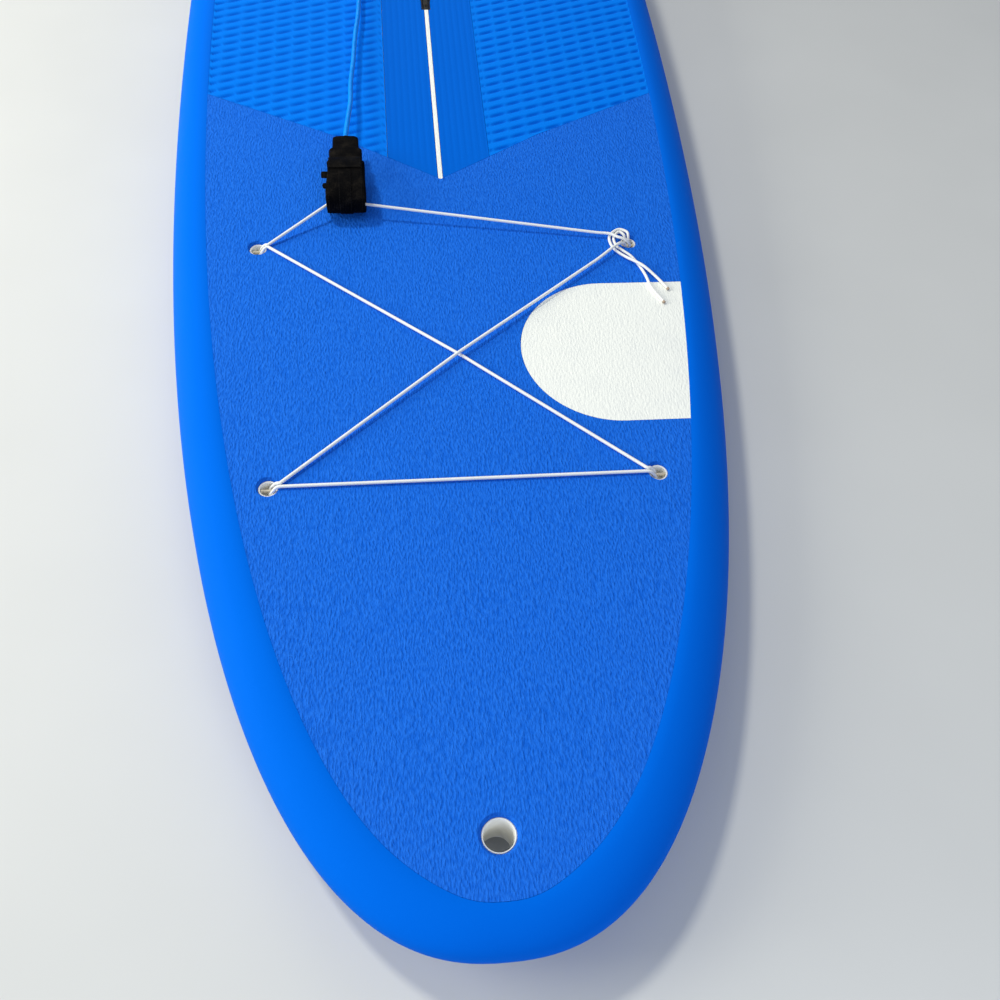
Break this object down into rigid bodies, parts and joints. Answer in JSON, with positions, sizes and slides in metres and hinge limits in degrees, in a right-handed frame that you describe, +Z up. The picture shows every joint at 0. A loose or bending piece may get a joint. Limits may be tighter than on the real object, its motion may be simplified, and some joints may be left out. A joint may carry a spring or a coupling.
{
  "type": "stand-up paddle board",
  "caption": "Rigid soft-skinned stand-up paddle board lying on its hull and fin, with deck pads, bungee, carry handle, vent and a leash.",
  "frame": {"origin": "middle of the board in plan, on the floor that the hull and the fin's tip rest on", "axes": "+Z up, +Y from the nose towards the tail, +X to starboard"},
  "size_m": [0.81, 3.1938, 0.3043],
  "materials": {
    "foam_core": "white expanded foam",
    "wood": "plain stringer",
    "skin": "thin hard skin",
    "rail_foam": "fine grained closed-cell foam",
    "nose_foam": "grained closed-cell foam",
    "pad_foam": "embossed closed-cell foam",
    "white_foam": "grained closed-cell foam",
    "white_plastic": "moulded plastic",
    "beige_plastic": "moulded pin",
    "cord": "braided sleeve over elastic",
    "black_plastic": "moulded plastic",
    "black_rubber": "soft ring",
    "steel": "stainless steel",
    "brass": "turned brass",
    "webbing": "neoprene and webbing",
    "leash": "clear tinted urethane"
  },
  "bodies": {
    "board": {"eps_core_port": "foam_core", "eps_core_starboard": "foam_core", "nose_block": "foam_core", "stringer": "wood", "deck_skin": "skin", "bottom_skin": "skin", "rail_wrap": "rail_foam", "nose_pad": "nose_foam", "traction_pad_port": "pad_foam", "traction_pad_starboard": "pad_foam", "traction_pad_centre": "pad_foam", "tail_pad": "pad_foam", "panel_inlay": "white_foam", "centre_stripe_front": "white_foam", "centre_stripe_rear": "white_foam", "nose_tube": "white_plastic", "tie_cup_front_port": "white_plastic", "tie_cup_front_starboard": "white_plastic", "tie_cup_rear_port": "white_plastic", "tie_cup_rear_starboard": "white_plastic", "tie_pin_front_port": "beige_plastic", "tie_pin_front_starboard": "beige_plastic", "tie_pin_rear_port": "beige_plastic", "tie_pin_rear_starboard": "beige_plastic", "bungee_cord": "cord", "handle_cup": "black_plastic", "handle_grip": "black_plastic", "vent_body": "black_plastic", "leash_cup": "black_plastic", "fin_box": "black_plastic", "cuff_neck": "black_plastic", "rail_saver_neck": "black_plastic", "vent_ring": "black_rubber", "handle_screw_front": "steel", "handle_screw_rear": "steel", "leash_pin": "steel", "cuff_swivel_pin": "steel", "rail_saver_swivel_pin": "steel", "cuff_band": "webbing", "cuff_strap": "webbing", "cuff_pull_tab": "webbing", "rail_saver": "webbing", "leash_string": "webbing", "leash_cord": "leash"},
    "fin": {"fin": "black_plastic", "fin_pin": "steel", "fin_plate": "steel"},
    "fin_screw": {"fin_screw": "steel"},
    "vent_screw": {"vent_screw": "brass"},
    "cuff_swivel": {"cuff_swivel": "black_plastic"},
    "rail_saver_swivel": {"rail_saver_swivel": "black_plastic"}
  },
  "joints": [
    {"name": "fin_slide", "type": "slide", "parent": "board", "child": "fin", "axis": [0, 0.9897, 0.1429], "range_m": [-0.03, 0.03]},
    {"name": "fin_screw_turn", "type": "hinge", "parent": "fin", "child": "fin_screw", "pos_m": [0, 1.1859, 0.15765], "axis": [0, -0.1429, 0.9897], "continuous": true},
    {"name": "vent_screw_turn", "type": "hinge", "parent": "board", "child": "vent_screw", "pos_m": [0.035, 0.19956, 0.17437], "axis": [0, -0.0766, 0.9971], "continuous": true},
    {"name": "cuff_swivel_spin", "type": "hinge", "parent": "board", "child": "cuff_swivel", "pos_m": [-0.134, -0.53817, 0.151], "axis": [0, 0.9985, 0.0548], "continuous": true},
    {"name": "rail_saver_swivel_spin", "type": "hinge", "parent": "board", "child": "rail_saver_swivel", "pos_m": [-0.045, 1.11749, 0.26244], "axis": [0, -0.9936, -0.1127], "continuous": true}
  ]
}
